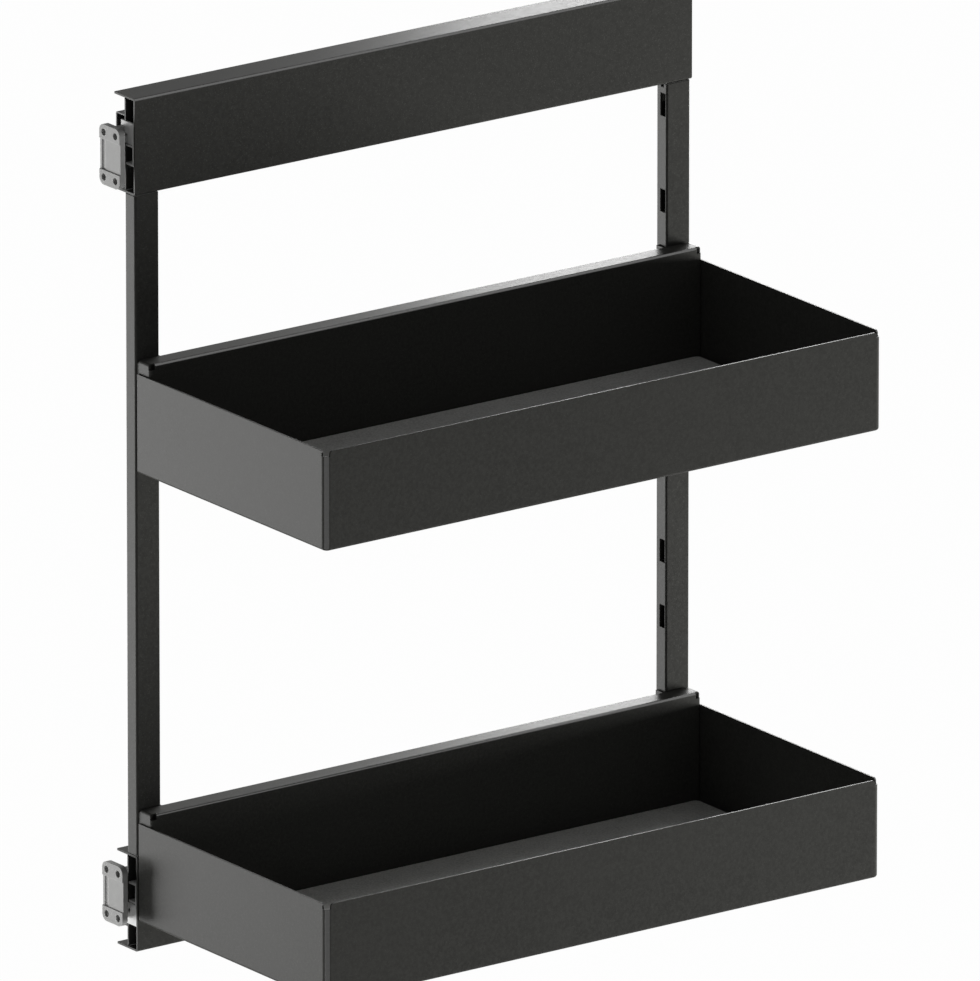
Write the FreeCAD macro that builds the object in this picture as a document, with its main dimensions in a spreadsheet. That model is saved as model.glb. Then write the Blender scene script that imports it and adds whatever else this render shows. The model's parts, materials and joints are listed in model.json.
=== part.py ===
import FreeCAD, Part
import os
import Sketcher
from FreeCAD import Placement, Rotation, Vector

# Pull-out cabinet organizer, in millimetres.
#
# A flat frame of two rails and two uprights runs on two ball slides that are
# screwed to a cabinet's side wall. Two sheet-metal trays hang in slots of the
# uprights, and two zinc brackets carry the cabinet's door.
#
# X runs along the rails, with the door end at the low end. Y runs from the
# trays to the cabinet's side wall. Z is up. While it is drawn, X is counted
# from the rails' door end, Y from the frame's front plane and Z from its
# lower edge. Every piece is then moved so that the origin is the centre of the
# screw pattern on the cabinet's side wall.

doc = FreeCAD.newDocument("cabinet_organizer")
sheet = doc.addObject("Spreadsheet::Sheet", "Sizes")


class Size:
    """A length that keeps its number together with the formula for it."""

    def __init__(self, value, text):
        self.value = float(value)
        self.text = text

    @staticmethod
    def of(other):
        if isinstance(other, Size):
            return other
        return Size(other, repr(float(other)))

    def join(self, sign, other, value):
        return Size(value, "(%s %s %s)" % (self.text, sign, other.text))

    def __add__(self, other):
        other = Size.of(other)
        return self.join("+", other, self.value + other.value)

    def __sub__(self, other):
        other = Size.of(other)
        return self.join("-", other, self.value - other.value)

    def __mul__(self, other):
        other = Size.of(other)
        return self.join("*", other, self.value * other.value)

    def __truediv__(self, other):
        other = Size.of(other)
        return self.join("/", other, self.value / other.value)

    def __radd__(self, other):
        return Size.of(other) + self

    def __rsub__(self, other):
        return Size.of(other) - self

    def __rmul__(self, other):
        return Size.of(other) * self

    def __neg__(self):
        return Size.of(0) - self


DRIVING_SIZES = [
    ("frame_length", 470, "rails, from the door end to the back of the rear upright"),
    ("frame_height", 612, "lower edge of the bottom rail to upper edge of the top rail"),
    ("rail_height", 69, "front plate of a rail cover"),
    ("rail_depth", 24, "a cover's flanges, front plane to rear edge"),
    ("rail_sheet", 1.5, "sheet of the rail covers and channels"),
    ("rail_overhang", 1.5, "cover that passes the rear upright"),
    ("rail_bend", 1.9, "outer radius of a cover's bends"),
    ("chamber", 9.0, "clear depth between a cover and its channel"),
    ("flange_setback", 9.0, "channel's flanges behind its web's door end"),
    ("channel_depth", 11.5, "front of a channel's web to the rear edge of its flanges"),
    ("channel_bend", 2.4, "outer radius of a channel's bends"),
    ("upright_width", 20, "upright along the rails"),
    ("upright_depth", 12, "upright, front to back"),
    ("upright_sheet", 1.5, "wall of the upright tube"),
    ("upright_bend", 1.4, "outer radius of the tube's corners"),
    ("slot_width", 5.9, "hanging slot, front to back"),
    ("slot_height", 16.5, "hanging slot, bottom to top"),
    ("slot_inset", 1.6, "front of the upright to a slot"),
    ("slot_end", 16.5, "upright's end to the middle of its outer slot"),
    ("slot_outer_pitch", 69.3, "outer slots to the middle slots"),
    ("slot_inner_pitch", 47.6, "middle slots to the inner slots"),
    ("slot_lift", 1.2, "all slots above their mirrored places"),
    ("sight_width", 3.5, "sight notch in the upright's ends, front to back"),
    ("sight_inset", 3.4, "front of the upright to the sight notch"),
    ("sight_depth", 2.7, "depth of the sight notch"),
    ("plug_flange", 0.5, "plug flange between an upright and a rail"),
    ("plug_length", 14, "plug inside the upright"),
    ("plug_step", 0.5, "flange edge inside the tube's outside"),
    ("plug_play", 0.15, "play round a plug in its tube"),
    ("plug_collar", 2.5, "full part of a plug before its relief for a hook"),
    ("plug_relief_gap", 0.5, "plug's relief to the hook tip, along the rail"),
    ("plug_relief_side", 0.2, "plug's relief to the slot's rear edge"),
    ("frame_screw", 5.0, "frame screw's shank, diameter"),
    ("frame_screw_head", 7.6, "frame screw's head, diameter"),
    ("frame_screw_cap", 3.0, "frame screw's head, height"),
    ("screw_play", 0.2, "hole larger than its screw"),
    ("slide_height", 40, "ball slide's cabinet member"),
    ("slide_sheet", 1.2, "sheet of the slide members"),
    ("slide_lip", 2.6, "inward lip of the cabinet member"),
    ("slide_setback", 2.0, "door end of the cabinet member"),
    ("slide_rear_setback", 2.0, "frame's rear end to the cabinet member's"),
    ("slide_gap", 1.0, "channel web to the cabinet member"),
    ("wall_gap", 1.0, "cover's rear edge to the cabinet's side wall"),
    ("member_gap", 1.2, "clear space between two webs, for a cage"),
    ("ball", 3.5, "ball diameter"),
    ("ball_play", 0.1, "play above and below a ball"),
    ("cage_sheet", 0.6, "sheet of the ball cages"),
    ("cage_length", 200, "ball cage along the rail"),
    ("cage_hole_play", 0.3, "ball hole larger than its ball"),
    ("cage_first_ball", 10, "cage end to its first ball"),
    ("outer_cage_front", 2.0, "intermediate member's front to the outer cage"),
    ("outer_ball_depth", 4.4, "intermediate member's front to the outer balls"),
    ("inner_cage_front", 1.6, "intermediate member's front to the inner cage"),
    ("inner_ball_depth", 3.4, "intermediate member's front to the inner balls"),
    ("middle_front_gap", 1.0, "cabinet member's front to the intermediate member's"),
    ("middle_setback", 4.0, "door end of the intermediate member"),
    ("middle_lip", 2.4, "inward lip of the intermediate member"),
    ("runner_setback", 3.0, "door end of the frame member"),
    ("runner_depth", 8.2, "frame member, front to back"),
    ("end_play", 0.4, "slide members to the rear bumper"),
    ("bumper_length", 5.6, "rear bumper along the rail"),
    ("bumper_front_gap", 1.0, "intermediate member's front to the bumper's"),
    ("wall_hole", 6.4, "system-screw hole in the cabinet member, diameter"),
    ("wall_hole_setback", 37, "cabinet front edge to the first wall hole"),
    ("wall_hole_pitch", 128, "between wall holes"),
    ("wall_hole_margin", 12, "least from the last wall hole to the member's end"),
    ("member_screw", 4.0, "screw of the frame member, diameter"),
    ("member_screw_head", 7.5, "its head, diameter"),
    ("member_screw_cap", 1.8, "its head, height"),
    ("member_screw_first", 45, "rail end to the first member screw"),
    ("member_screw_last", 50, "last member screw to the frame's rear end"),
    ("arm_sheet", 1.4, "zinc sheet of a bracket arm"),
    ("arm_height", 14.5, "arm's channel"),
    ("arm_length", 90, "arm inside the rail"),
    ("arm_offset", 34, "rail's outer edge to the arm's channel"),
    ("arm_play", 0.1, "arm to the channel web"),
    ("tab_height", 15.3, "end tab of an arm"),
    ("tab_width", 14.5, "end tab, front to back"),
    ("tab_gap", 0.7, "end tab to the arm's channel"),
    ("tab_leg", 32, "leg of the tab along the rail"),
    ("tab_sheet", 1.5, "end tab, along the rail"),
    ("tab_play", 0.2, "notch in the channel's web, round the tab"),
    ("tab_hole", 3.0, "small hole in the tab, diameter"),
    ("tab_hole_depth", 8.9, "tab's front edge to its hole"),
    ("tab_hole_drop", 10.0, "tab's outer edge to its hole"),
    ("carrier_depth", 8.1, "carrier block, in front of the rail end"),
    ("carrier_width", 4.2, "carrier block, front to back"),
    ("carrier_inset", 12.0, "frame's front plane to the carrier"),
    ("carrier_offset", 22, "rail's outer edge to the carrier"),
    ("carrier_height", 31, "carrier block"),
    ("carrier_edge", 0.6, "rounding of the carrier's long edges"),
    ("rivet", 2.0, "rivet's shank, diameter"),
    ("rivet_head", 3.4, "rivet's head, diameter"),
    ("rivet_cap", 0.7, "rivet's head, height"),
    ("rivet_play", 0.1, "rivet hole larger than its rivet"),
    ("rivet_grip", 3.0, "rivet's length in the carrier"),
    ("rivet_first", 2.6, "carrier's outer edge to the first rivet"),
    ("rivet_pitch", 6.0, "between the two rivets"),
    ("dovetail_depth", 2.2, "dovetail rib on the carrier"),
    ("dovetail_neck", 7.0, "dovetail at its root"),
    ("dovetail_head", 10.0, "dovetail at its head"),
    ("dovetail_play", 0.15, "play at the dovetail's root and tip"),
    ("dovetail_side_play", 0.375, "play beside the dovetail's head"),
    ("plate_groove", 10, "plate's front edge to the closed end of its groove"),
    ("plate_sheet", 4.5, "door plate"),
    ("plate_width", 24, "door plate, front to back"),
    ("plate_height", 43, "door plate"),
    ("plate_corner", 5.0, "door plate's corner radius"),
    ("plate_offset", 41.5, "rail's outer edge to the plate's centre"),
    ("plate_hole", 5.0, "door screw hole, diameter"),
    ("plate_hole_rise", 32, "between door screw holes, up"),
    ("plate_hole_span", 13.5, "between door screw holes, across"),
    ("plate_recess", 0.8, "shallow recess in the plate"),
    ("plate_recess_height", 22, "recess between the hole rows"),
    ("plate_band_inset", 2.4, "plate's rear edge to the band in its recess"),
    ("plate_band_width", 4.0, "band in the recess, front to back"),
    ("plate_band_depth", 0.5, "band below the recess"),
    ("tray_depth", 220, "tray, rear edge to front face"),
    ("tray_height", 71, "tray walls"),
    ("tray_sheet", 1.2, "tray sheet"),
    ("tray_gap", 1.7, "frame's front plane to the tray's rear edge"),
    ("tray_corner", 4.2, "outer radius of the tray's front corners"),
    ("tray_bend", 2.0, "outer radius of the tray's bottom edges"),
    ("corner_relief", 3.8, "depth of the relief over a front corner"),
    ("relief_edge", 2.0, "rounding of the walls beside the relief"),
    ("panel_rise", 9.6, "back panel above the tray walls"),
    ("panel_depth", 13.8, "back panel, front to back"),
    ("panel_bend", 2.0, "outer radius of the back panel's bends"),
    ("panel_relief", 4.4, "corner relief of the back panel"),
    ("panel_relief_depth", 2.0, "corner relief, front to back"),
    ("mat_thickness", 1.5, "floor mat"),
    ("mat_margin", 4.0, "mat to the tray's walls"),
    ("mat_back_margin", 1.0, "mat to the back panel"),
    ("mat_corner", 4.0, "mat's corner radius"),
    ("hanger_sheet", 1.5, "sheet of the tray hangers"),
    ("hanger_play", 0.2, "hanger to the upright"),
    ("hanger_bottom", 50, "tray bottom to the foot of a hanger"),
    ("hanger_inset", 1.2, "frame end to the hanger's edge"),
    ("hanger_corner", 2.0, "rounding of a hanger's outer upper corner"),
    ("cheek_depth", 11.3, "hanger's cheek beside the upright"),
    ("hook_height", 64.8, "tray bottom to the middle of its slot"),
    ("hook_neck", 7.6, "hook through the slot, height"),
    ("hook_play", 0.5, "hook to the sides of the slot"),
    ("hook_seat", 0.1, "hook above the slot's lower edge"),
    ("hook_drop", 4.8, "hook tip below its neck"),
    ("hook_tip", 2.0, "hook tip, along the rail"),
    ("hook_clear", 0.3, "hook tip to the upright's wall"),
]

BALLS_PER_ROW = 6
MEMBER_SCREWS = 4


def write_sizes():
    """Put the driving sizes in the sheet and return them by name."""
    sizes = {}
    sheet.set("A1", "name")
    sheet.set("B1", "mm")
    sheet.set("C1", "what it is")
    for row, (name, number, note) in enumerate(DRIVING_SIZES, start=2):
        sheet.set("A%d" % row, name)
        sheet.set("B%d" % row, str(number))
        sheet.setAlias("B%d" % row, name)
        sheet.set("C%d" % row, note)
        sizes[name] = Size(number, "Sizes.%s" % name)
    doc.recompute()
    return sizes


size = write_sizes()
ZERO = Size.of(0)

# Places that more than one piece shares.
frame_length = size["frame_length"]
frame_height = size["frame_height"]
rail_sheet = size["rail_sheet"]
rail_height = size["rail_height"]
web_front = rail_sheet + size["chamber"]
web_back = web_front + rail_sheet
wall_plane = size["rail_depth"] + size["wall_gap"]
slide_middle = rail_height / 2
tray_rear = -size["tray_gap"]
tray_front = tray_rear - size["tray_depth"]
slot_clear = size["slot_height"] / 2
upright_foot = rail_height + size["plug_flange"]
upright_head = frame_height - rail_height - size["plug_flange"]
upright_centre = size["upright_width"] / 2
lowest_slot = upright_foot + size["slot_end"] + size["slot_lift"]
highest_slot = upright_head - size["slot_end"] + size["slot_lift"]
slide_back = frame_length - size["slide_rear_setback"]
wall_hole_run = slide_back - size["wall_hole_setback"] - size["wall_hole_margin"]
wall_holes = int(wall_hole_run.value / size["wall_hole_pitch"].value) + 1
origin_x = size["wall_hole_setback"] + size["wall_hole_pitch"] * (wall_holes - 1) / 2
origin_z = frame_height / 2
subparts = []


def bind(thing, path, length):
    """Tie one property of an object to a formula on the sheet."""
    thing.setExpression(path, length.text)


def settle(thing):
    """Move a finished sub-part to the frame of the wall screw pattern."""
    thing.Placement = Placement(Vector(-origin_x.value, -wall_plane.value, -origin_z.value), Rotation())
    bind(thing, "Placement.Base.x", -origin_x)
    bind(thing, "Placement.Base.y", -wall_plane)
    bind(thing, "Placement.Base.z", -origin_z)
    subparts.append(thing)


def new_body(label):
    body = doc.addObject("PartDesign::Body", label)
    body.Label = label
    settle(body)
    return body


def sketch_on(body, role, level):
    """A sketch parallel to an origin plane, level above it along its normal."""
    planes = [feature for feature in body.Origin.OriginFeatures if feature.Role == role]
    sketch = body.newObject("Sketcher::SketchObject", "Sketch")
    sketch.AttachmentSupport = (planes[0], [""])
    sketch.MapMode = "FlatFace"
    sketch.AttachmentOffset = Placement(Vector(0, 0, level.value), Rotation())
    bind(sketch, "AttachmentOffset.Base.z", level)
    return sketch


def pin_point(sketch, element, point, across, up):
    """Hold a sketch point at its distances from the sketch's origin."""
    for kind, length in (("DistanceX", across), ("DistanceY", up)):
        index = sketch.addConstraint(Sketcher.Constraint(kind, -1, 1, element, point, length.value))
        bind(sketch, "Constraints[%d]" % index, length)


def draw_outline(sketch, corners):
    """Draw a closed outline through corners, each a pair of lengths."""
    corners = [(Size.of(across), Size.of(up)) for across, up in corners]
    first = len(sketch.Geometry)
    count = len(corners)
    for number in range(count):
        here = corners[number]
        following = corners[(number + 1) % count]
        start = Vector(here[0].value, here[1].value, 0)
        end = Vector(following[0].value, following[1].value, 0)
        sketch.addGeometry(Part.LineSegment(start, end), False)
    for number in range(count):
        after = first + (number + 1) % count
        sketch.addConstraint(Sketcher.Constraint("Coincident", first + number, 2, after, 1))
    for number, (across, up) in enumerate(corners):
        pin_point(sketch, first + number, 1, across, up)


def draw_circle(sketch, across, up, diameter):
    across, up = Size.of(across), Size.of(up)
    centre = Vector(across.value, up.value, 0)
    element = sketch.addGeometry(Part.Circle(centre, Vector(0, 0, 1), diameter.value / 2), False)
    index = sketch.addConstraint(Sketcher.Constraint("Diameter", element, diameter.value))
    bind(sketch, "Constraints[%d]" % index, diameter)
    pin_point(sketch, element, 3, across, up)


def rectangle(low_across, low_up, high_across, high_up):
    return [(low_across, low_up), (high_across, low_up), (high_across, high_up), (low_across, high_up)]


def pad(body, sketch, length):
    """Pad a sketch along its normal."""
    feature = body.newObject("PartDesign::Pad", "Pad")
    feature.Profile = sketch
    feature.Length = length.value
    bind(feature, "Length", length)
    doc.recompute()
    return feature


def pocket(body, sketch, depth, along_normal=False):
    """Cut a sketch's outlines, against its normal unless along_normal is set."""
    before = body.Shape.Volume
    feature = body.newObject("PartDesign::Pocket", "Pocket")
    feature.Profile = sketch
    feature.Length = depth.value
    feature.Reversed = along_normal
    bind(feature, "Length", depth)
    doc.recompute()
    if not body.Shape.Volume < before:
        raise RuntimeError("a pocket cuts nothing in " + body.Label)
    return feature


def edges_along(body, axis, places):
    """Names of the straight edges along axis that pass through places.

    A place is the pair of the other two coordinates, in X, Y, Z order.
    """
    along = "XYZ".index(axis)
    others = [index for index in range(3) if index != along]
    names = []
    for number, edge in enumerate(body.Tip.Shape.Edges, start=1):
        ends = [vertex.Point for vertex in edge.Vertexes]
        if len(ends) != 2 or edge.Curve.TypeId != "Part::GeomLine":
            continue
        if abs(ends[0][along] - ends[1][along]) < 0.5:
            continue
        for place in places:
            here = [Size.of(length).value for length in place]
            if all(abs(end[others[k]] - here[k]) < 0.01 for end in ends for k in (0, 1)):
                names.append("Edge%d" % number)
    return names


def round_edges(body, axis, places, radius):
    """Round the edges along axis at the given places."""
    round_named(body, edges_along(body, axis, places), radius)


def round_named(body, names, radius):
    if not names:
        raise RuntimeError("no edge to round in " + body.Label)
    base = body.Tip
    feature = body.newObject("PartDesign::Fillet", "Bend")
    feature.Base = (base, names)
    feature.Radius = radius.value
    bind(feature, "Radius", radius)
    doc.recompute()


def strip_outline(path, sheet_size):
    """Outline of a folded strip that lies to the left of path.

    The path's runs are parallel to the axes. Each corner of the other side
    lies one sheet to the left of both of its runs.
    """
    path = [(Size.of(across), Size.of(up)) for across, up in path]
    lefts = []
    for start, end in zip(path, path[1:]):
        across = end[0].value - start[0].value
        up = end[1].value - start[1].value
        if abs(across) > abs(up):
            lefts.append((0, 1 if across > 0 else -1))
        else:
            lefts.append((-1 if up > 0 else 1, 0))
    other_side = []
    for number, (across, up) in enumerate(path):
        beside = lefts[max(number - 1, 0):number + 1]
        for step_across, step_up in set(beside):
            across = across + sheet_size * step_across
            up = up + sheet_size * step_up
        other_side.append((across, up))
    return path + other_side[::-1]


def block(corner, lengths, label="block"):
    """A Part box from its low corner and three lengths."""
    thing = doc.addObject("Part::Box", label)
    for name, length in zip(("Length", "Width", "Height"), lengths):
        bind(thing, name, Size.of(length))
    for name, length in zip("xyz", corner):
        bind(thing, "Placement.Base." + name, Size.of(length))
    return thing


QUARTER_TURNS = {
    "X": Rotation(Vector(0, 1, 0), 90),
    "Y": Rotation(Vector(1, 0, 0), -90),
    "Z": Rotation(),
}


def rod(corner, axis, diameter, length, label="rod"):
    """A Part cylinder that starts at corner and runs along axis."""
    thing = doc.addObject("Part::Cylinder", label)
    thing.Placement = Placement(Vector(), QUARTER_TURNS[axis])
    bind(thing, "Radius", Size.of(diameter) / 2)
    bind(thing, "Height", Size.of(length))
    for name, place in zip("xyz", corner):
        bind(thing, "Placement.Base." + name, Size.of(place))
    return thing


def ball_at(corner, diameter):
    thing = doc.addObject("Part::Sphere", "steel_ball")
    bind(thing, "Radius", diameter / 2)
    for name, place in zip("xyz", corner):
        bind(thing, "Placement.Base." + name, Size.of(place))
    return thing


def fused(pieces):
    thing = doc.addObject("Part::MultiFuse", "joined")
    thing.Shapes = pieces
    return thing


def cut_from(base, tool):
    thing = doc.addObject("Part::Cut", "cut")
    thing.Base = base
    thing.Tool = tool
    return thing


def group(label, pieces):
    """Several separate solids that share one sub-part."""
    thing = doc.addObject("Part::Compound", label)
    thing.Label = label
    thing.Links = pieces
    settle(thing)
    return thing


# Each rail is drawn from its outer edge inwards, so the top and the bottom
# rail are mirror images. A height "in" is a distance from that outer edge.

def height_from(end, inward):
    inward = Size.of(inward)
    if end == "top":
        return frame_height - inward
    return inward


def profile(end, corners):
    """Turn corners of Y and distance from the rail's edge into Y and Z."""
    return [(across, height_from(end, inward)) for across, inward in corners]


def long_piece(body, end, corners, start, length):
    sketch = sketch_on(body, "YZ_Plane", Size.of(start))
    draw_outline(sketch, profile(end, corners))
    pad(body, sketch, length)


def round_profile(body, end, corners, radius):
    round_edges(body, "X", profile(end, corners), radius)


def add_rail_cover(end):
    """Channel with the front plate and two flanges round the slide."""
    body = new_body(end + "_rail_cover")
    depth = size["rail_depth"]
    path = [(depth, rail_height), (ZERO, rail_height), (ZERO, ZERO), (depth, ZERO)]
    long_piece(body, end, strip_outline(path, rail_sheet), ZERO, frame_length + size["rail_overhang"])
    round_profile(body, end, [(0, 0), (0, rail_height)], size["rail_bend"])
    inner = [(rail_sheet, rail_sheet), (rail_sheet, rail_height - rail_sheet)]
    round_profile(body, end, inner, size["rail_bend"] - rail_sheet)
    holes = sketch_on(body, "XY_Plane", height_from(end, rail_height))
    for along in (upright_centre, frame_length - upright_centre):
        draw_circle(holes, along, size["upright_depth"] / 2, size["frame_screw"] + size["screw_play"])
    pocket(body, holes, rail_sheet, along_normal=(end == "top"))


def add_rail_channel(end):
    """Channel that closes the rail behind its chamber and carries the slide."""
    body = new_body(end + "_rail_channel")
    back = web_front + size["channel_depth"]
    low, high = rail_sheet, rail_height - rail_sheet
    path = [(back, high), (web_front, high), (web_front, low), (back, low)]
    long_piece(body, end, strip_outline(path, rail_sheet), ZERO, frame_length)
    round_profile(body, end, [(web_front, low), (web_front, high)], size["channel_bend"])
    inner = [(web_back, low + rail_sheet), (web_back, high - rail_sheet)]
    round_profile(body, end, inner, size["channel_bend"] - rail_sheet)
    flange_cut = sketch_on(body, "YZ_Plane", ZERO)
    draw_outline(flange_cut, profile(end, rectangle(web_back, low, back, high)))
    pocket(body, flange_cut, size["flange_setback"], along_normal=True)
    notch = sketch_on(body, "YZ_Plane", ZERO)
    play = size["tab_play"]
    outline = rectangle(web_front - play, tab_near - play, web_back + play, tab_far + play)
    draw_outline(notch, profile(end, outline))
    pocket(body, notch, size["tab_sheet"] + play, along_normal=True)
    holes = sketch_on(body, "XZ_Plane", -web_front)
    for along in member_screw_places():
        diameter = size["member_screw"] + size["screw_play"]
        draw_circle(holes, along, height_from(end, slide_middle), diameter)
    pocket(body, holes, rail_sheet)


def member_screw_places():
    first = size["member_screw_first"]
    run = frame_length - first - size["member_screw_last"]
    return [first + run * number / (MEMBER_SCREWS - 1) for number in range(MEMBER_SCREWS)]


# The ball slide, from the cabinet's side wall to the frame: each web is one
# cage space in front of the last, and each flange is one ball inside it.
slide_sheet = size["slide_sheet"]
ball_space = size["ball"] + size["ball_play"] * 2
cabinet_half = size["slide_height"] / 2
cabinet_front = web_back + size["slide_gap"]
cabinet_web = wall_plane - slide_sheet
middle_half = cabinet_half - slide_sheet - ball_space
middle_back = cabinet_web - size["member_gap"]
middle_web = middle_back - slide_sheet
middle_front = cabinet_front + size["middle_front_gap"]
runner_half = middle_half - slide_sheet - ball_space
runner_back = web_back + size["runner_depth"]
slide_end = slide_back - size["bumper_length"] - size["end_play"]


def around(half):
    """The two distances of a symmetrical slide part from the rail's edge."""
    return slide_middle - half, slide_middle + half


def add_cabinet_member(end):
    body = new_body(end + "_cabinet_member")
    near, far = around(cabinet_half)
    lip = size["slide_lip"]
    path = [
        (cabinet_front, near + lip),
        (cabinet_front, near),
        (wall_plane, near),
        (wall_plane, far),
        (cabinet_front, far),
        (cabinet_front, far - lip),
    ]
    length = slide_back - size["slide_setback"]
    long_piece(body, end, strip_outline(path, slide_sheet), size["slide_setback"], length)
    round_profile(body, end, path[1:5], slide_sheet * 1.4)
    holes = sketch_on(body, "XZ_Plane", -cabinet_web)
    for number in range(wall_holes):
        along = size["wall_hole_setback"] + size["wall_hole_pitch"] * number
        draw_circle(holes, along, height_from(end, slide_middle), size["wall_hole"])
    pocket(body, holes, slide_sheet)


def add_intermediate_member(end):
    body = new_body(end + "_intermediate_member")
    near, far = around(middle_half)
    lip = size["middle_lip"]
    path = [
        (middle_front, near + lip),
        (middle_front, near),
        (middle_back, near),
        (middle_back, far),
        (middle_front, far),
        (middle_front, far - lip),
    ]
    length = slide_end - size["middle_setback"]
    long_piece(body, end, strip_outline(path, slide_sheet), size["middle_setback"], length)
    round_profile(body, end, path[1:5], slide_sheet * 1.4)


def add_frame_member(end):
    body = new_body(end + "_frame_member")
    near, far = around(runner_half)
    path = [(runner_back, far), (web_back, far), (web_back, near), (runner_back, near)]
    length = slide_end - size["runner_setback"]
    long_piece(body, end, strip_outline(path, slide_sheet), size["runner_setback"], length)
    round_profile(body, end, path[1:3], slide_sheet * 1.4)
    holes = sketch_on(body, "XZ_Plane", -web_back)
    for along in member_screw_places():
        diameter = size["member_screw"] + size["screw_play"]
        draw_circle(holes, along, height_from(end, slide_middle), diameter)
    pocket(body, holes, slide_sheet)


def cage_sizes(which):
    """Web's back face, legs' front edge, rows' half spacing and ball depth."""
    space = size["member_gap"] - size["cage_sheet"]
    if which == "outer":
        half = (cabinet_half - slide_sheet + middle_half) / 2
        depth = middle_front + size["outer_ball_depth"]
        return cabinet_web - space / 2, middle_front + size["outer_cage_front"], half, depth
    half = (middle_half - slide_sheet + runner_half) / 2
    depth = middle_front + size["inner_ball_depth"]
    return middle_web - space / 2, middle_front + size["inner_cage_front"], half, depth


cage_start = (frame_length - size["cage_length"]) / 2


def ball_places():
    run = size["cage_length"] - size["cage_first_ball"] * 2
    first = cage_start + size["cage_first_ball"]
    return [first + run * number / (BALLS_PER_ROW - 1) for number in range(BALLS_PER_ROW)]


def add_cage(end, which):
    """Folded strip between two members, with a row of balls in each leg."""
    body = new_body("%s_%s_ball_cage" % (end, which))
    back, front, half, depth = cage_sizes(which)
    thickness = size["cage_sheet"]
    near, far = around(half + thickness / 2)
    path = [(front, near), (back, near), (back, far), (front, far)]
    long_piece(body, end, strip_outline(path, thickness), cage_start, size["cage_length"])
    hole = size["ball"] + size["cage_hole_play"]
    for inward in (near, far - thickness):
        top_of_leg = inward if end == "top" else inward + thickness
        holes = sketch_on(body, "XY_Plane", height_from(end, top_of_leg))
        for along in ball_places():
            draw_circle(holes, along, depth, hole)
        pocket(body, holes, thickness)
    balls = []
    for inward in around(half):
        for along in ball_places():
            balls.append(ball_at((along, depth, height_from(end, inward)), size["ball"]))
    group("%s_%s_balls" % (end, which), balls)


def add_rear_bumper(end):
    """Rubber stop in the cabinet member, behind the moving members."""
    body = new_body(end + "_rear_bumper")
    near, far = around(runner_half)
    corners = rectangle(middle_front + size["bumper_front_gap"], near, cabinet_web, far)
    start = slide_back - size["bumper_length"]
    long_piece(body, end, corners, start, size["bumper_length"])
    round_profile(body, end, corners[:1] + corners[3:], slide_sheet)


def add_member_screws(end):
    screws = []
    middle = height_from(end, slide_middle)
    head_seat = web_back + slide_sheet
    for along in member_screw_places():
        shank = rod((along, web_front, middle), "Y", size["member_screw"], head_seat - web_front)
        head = rod((along, head_seat, middle), "Y", size["member_screw_head"], size["member_screw_cap"])
        recess_start = head_seat + size["member_screw_cap"] / 2
        recess = rod((along, recess_start, middle), "Y", size["member_screw"] * 0.7, size["member_screw_cap"])
        screws.append(cut_from(fused([shank, head]), recess))
    group(end + "_member_screws", screws)


tab_far = size["arm_offset"] - size["tab_gap"]
tab_near = tab_far - size["tab_height"]


def add_bracket_arm(end):
    """Zinc arm in the rail's chamber, with a tab across the rail's end."""
    body = new_body(end + "_bracket_arm")
    thickness = size["arm_sheet"]
    near = size["arm_offset"]
    far = near + size["arm_height"]
    reach = web_front - size["arm_play"]
    path = [(reach, far), (rail_sheet, far), (rail_sheet, near), (reach, near)]
    long_piece(body, end, strip_outline(path, thickness), ZERO, size["arm_length"])
    leg = rectangle(rail_sheet, tab_near, rail_sheet + thickness, near)
    long_piece(body, end, leg, ZERO, size["tab_leg"])
    tab = rectangle(rail_sheet, tab_near, rail_sheet + size["tab_width"], tab_far)
    long_piece(body, end, tab, ZERO, size["tab_sheet"])
    hole = sketch_on(body, "YZ_Plane", size["tab_sheet"])
    hole_place = height_from(end, tab_near + size["tab_hole_drop"])
    draw_circle(hole, rail_sheet + size["tab_hole_depth"], hole_place, size["tab_hole"])
    across = size["carrier_inset"] + size["carrier_width"] / 2
    for inward in rivet_places():
        draw_circle(hole, across, height_from(end, inward), size["rivet"] + size["rivet_play"])
    pocket(body, hole, size["tab_sheet"])


def dovetail(end, root, play, side_play):
    """Corners in X and Z of the rib, or of its groove with play round it."""
    middle = size["plate_offset"]
    neck = size["dovetail_neck"] / 2 + play
    head = size["dovetail_head"] / 2 + side_play
    tip = root - size["dovetail_depth"] - play
    corners = [(root, middle - neck), (tip, middle - head), (tip, middle + head), (root, middle + neck)]
    return profile(end, corners)


def rivet_places():
    """Distances of the two rivets from the rail's outer edge."""
    first = size["carrier_offset"] + size["rivet_first"]
    return [first, first + size["rivet_pitch"]]


def add_bracket_carrier(end):
    """Block on the arm's tab, with the dovetail that the door plate rides on."""
    body = new_body(end + "_bracket_carrier")
    near = size["carrier_offset"]
    far = near + size["carrier_height"]
    start = size["carrier_inset"]
    width = size["carrier_width"]
    front = -size["carrier_depth"]
    sketch = sketch_on(body, "XZ_Plane", -(start + width))
    corners = profile(end, [(ZERO, near), (front, near), (front, far), (ZERO, far)])
    draw_outline(sketch, corners)
    pad(body, sketch, width)
    round_edges(body, "Y", corners[1:3], size["carrier_edge"])
    rib = sketch_on(body, "XZ_Plane", -(start + width))
    draw_outline(rib, dovetail(end, front, ZERO, ZERO))
    pad(body, rib, width)
    holes = sketch_on(body, "YZ_Plane", ZERO)
    for inward in rivet_places():
        draw_circle(holes, start + width / 2, height_from(end, inward), size["rivet"] + size["rivet_play"])
    pocket(body, holes, size["rivet_grip"] + size["rivet_play"])


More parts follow.
